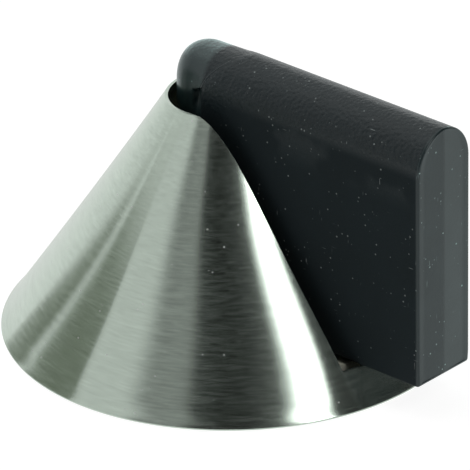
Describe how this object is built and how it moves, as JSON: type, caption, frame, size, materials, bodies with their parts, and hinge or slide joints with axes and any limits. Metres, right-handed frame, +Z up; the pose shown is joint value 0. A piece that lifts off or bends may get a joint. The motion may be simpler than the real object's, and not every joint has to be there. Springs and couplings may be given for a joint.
{
  "type": "door wedge",
  "caption": "Free-standing door wedge: a brushed steel cone over a ballast base, slit down one side for an upright rubber fin that stops the door.",
  "frame": {"origin": "centre of the pad's underside, on the cone's axis, at floor level", "axes": "+Z up along the cone's axis, +X from the axis along the fin to its flat end, +Y across the fin"},
  "size_m": [0.0989, 0.09, 0.0593],
  "materials": {
    "brushed_stainless": "satin, brushed round the cone",
    "black_rubber": "moulded, semi-matt with a fine grain",
    "brass": "turned",
    "zinc_plate": "bright zinc plate on turned steel",
    "zinc_sheet": "zinc plate on pressed sheet",
    "screw_steel": "bright zinc plate",
    "pad_rubber": "matt"
  },
  "bodies": {
    "root": {"cone_shell": "brushed_stainless", "rubber_bumper": "black_rubber", "bumper_insert": "brass", "ballast_weight": "zinc_plate", "base_plate": "zinc_sheet", "clamp_screw": "screw_steel", "ballast_screws": "screw_steel", "antislip_pad": "pad_rubber"}
  },
  "joints": []
}
